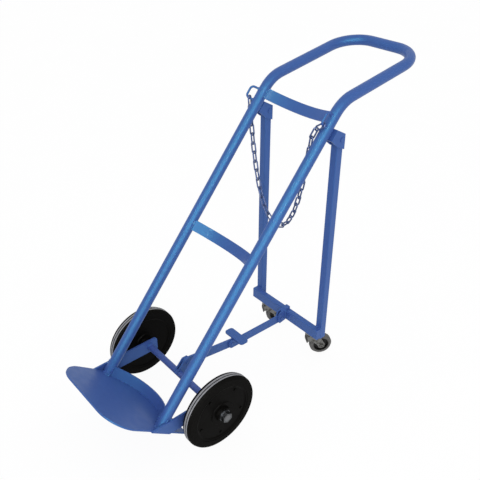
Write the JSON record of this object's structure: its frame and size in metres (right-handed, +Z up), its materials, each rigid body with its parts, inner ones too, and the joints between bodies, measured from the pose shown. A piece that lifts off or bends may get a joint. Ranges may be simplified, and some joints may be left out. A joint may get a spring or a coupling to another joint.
{
  "type": "gas cylinder cart",
  "caption": "Wheeled gas cylinder cart with a bent tube frame, toe plate, curved saddles, a safety chain and a folding rear support on braked swivel castors.",
  "frame": {"origin": "on the floor below the middle of the cart's box", "axes": "+Z up, +Y from the toe plate towards the handle, +X to the left of the person pushing"},
  "size_m": [0.4946, 1.2164, 1.034],
  "materials": {
    "blue_paint": "semi-gloss",
    "painted_fastener": "semi-gloss",
    "zinc_steel": "satin",
    "chain_steel": "semi-gloss",
    "castor_steel": "satin",
    "black_plastic": "matte",
    "bush_plastic": "matte",
    "black_tyre": "matte",
    "grey_rubber": "matte"
  },
  "bodies": {
    "frame": {"main_frame_tube": "blue_paint", "toe_plate": "blue_paint", "lower_saddle": "blue_paint", "middle_saddle": "blue_paint", "upper_saddle": "blue_paint", "left_axle_arm": "blue_paint", "right_axle_arm": "blue_paint", "axle": "blue_paint", "axle_washers": "zinc_steel", "axle_nuts": "zinc_steel", "left_hinge_bracket": "blue_paint", "right_hinge_bracket": "blue_paint", "left_hinge_pin": "painted_fastener", "right_hinge_pin": "painted_fastener", "stay_front_lug": "blue_paint", "stay_front_pin": "painted_fastener", "left_chain_eye": "blue_paint", "right_chain_eye": "blue_paint", "chain_end_links": "chain_steel"},
    "support": {"left_leg": "blue_paint", "right_leg": "blue_paint", "left_pivot_bush": "bush_plastic", "right_pivot_bush": "bush_plastic", "crossbar": "blue_paint", "crossbar_caps": "blue_paint", "stay_rear_lug": "blue_paint", "stay_rear_pin": "painted_fastener", "left_castor_plate": "blue_paint", "right_castor_plate": "blue_paint", "left_castor_head": "castor_steel", "right_castor_head": "castor_steel"},
    "front_link": {"front_link": "blue_paint", "foot_pedal": "blue_paint", "knee_pin_front": "painted_fastener"},
    "rear_link": {"rear_link": "blue_paint", "knee_pin_rear": "painted_fastener"},
    "chain": {"chain_links": "chain_steel"},
    "left_wheel": {"left_wheel_disc": "black_plastic", "left_tyre": "black_tyre", "left_hub_bush": "bush_plastic", "left_wheel_rivets": "black_plastic"},
    "left_fork": {"left_castor_fork": "castor_steel", "left_castor_axle_bolt": "castor_steel", "left_brake_pin": "castor_steel"},
    "left_castor": {"left_castor_wheel": "black_plastic", "left_castor_tyre": "grey_rubber"},
    "left_brake": {"left_brake_pedal": "black_plastic"},
    "right_wheel": {"right_wheel_disc": "black_plastic", "right_tyre": "black_tyre", "right_hub_bush": "bush_plastic", "right_wheel_rivets": "black_plastic"},
    "right_fork": {"right_castor_fork": "castor_steel", "right_castor_axle_bolt": "castor_steel", "right_brake_pin": "castor_steel"},
    "right_castor": {"right_castor_wheel": "black_plastic", "right_castor_tyre": "grey_rubber"},
    "right_brake": {"right_brake_pedal": "black_plastic"}
  },
  "joints": [
    {"name": "support_fold", "type": "hinge", "parent": "frame", "child": "support", "pos_m": [0, 0.2169, 0.84696], "axis": [-1, 0, 0], "range_deg": [0, 9]},
    {"name": "front_link_turn", "type": "hinge", "parent": "frame", "child": "front_link", "pos_m": [0, -0.24776, 0.152], "axis": [1, 0, 0], "range_deg": [0, 54.3]},
    {"name": "rear_link_turn", "type": "hinge", "parent": "support", "child": "rear_link", "pos_m": [0, 0.1644, 0.117], "axis": [-1, 0, 0], "range_deg": [0, 31.9]},
    {"name": "chain_swing", "type": "hinge", "parent": "frame", "child": "chain", "pos_m": [-0.17506, 0.16604, 0.89478], "axis": [0.9721, -0.0933, -0.2151], "range_deg": [-4.5, 1.5]},
    {"name": "left_wheel_spin", "type": "hinge", "parent": "frame", "child": "left_wheel", "pos_m": [0.20525, -0.28175, 0.125], "axis": [1, 0, 0], "continuous": true},
    {"name": "left_castor_swivel", "type": "hinge", "parent": "support", "child": "left_fork", "pos_m": [0.115, 0.2169, 0], "axis": [0, 0, 1], "continuous": true},
    {"name": "left_castor_spin", "type": "hinge", "parent": "left_fork", "child": "left_castor", "pos_m": [0.13175, 0.24533, 0.04], "axis": [0.8616, -0.5075, 0], "continuous": true},
    {"name": "left_brake_press", "type": "hinge", "parent": "left_fork", "child": "left_brake", "pos_m": [0.10897, 0.20666, 0.074], "axis": [0.8616, -0.5075, 0], "range_deg": [0, 12]},
    {"name": "right_wheel_spin", "type": "hinge", "parent": "frame", "child": "right_wheel", "pos_m": [-0.20525, -0.28175, 0.125], "axis": [1, 0, 0], "continuous": true},
    {"name": "right_castor_swivel", "type": "hinge", "parent": "support", "child": "right_fork", "pos_m": [-0.115, 0.2169, 0], "axis": [0, 0, 1], "continuous": true},
    {"name": "right_castor_spin", "type": "hinge", "parent": "right_fork", "child": "right_castor", "pos_m": [-0.09825, 0.24533, 0.04], "axis": [0.8616, -0.5075, 0], "continuous": true},
    {"name": "right_brake_press", "type": "hinge", "parent": "right_fork", "child": "right_brake", "pos_m": [-0.12103, 0.20666, 0.074], "axis": [0.8616, -0.5075, 0], "range_deg": [0, 12]}
  ],
  "couplings": [
    {"joint": "front_link_turn", "follows": "support_fold", "ratio": 6.03},
    {"joint": "rear_link_turn", "follows": "support_fold", "ratio": 3.535}
  ]
}
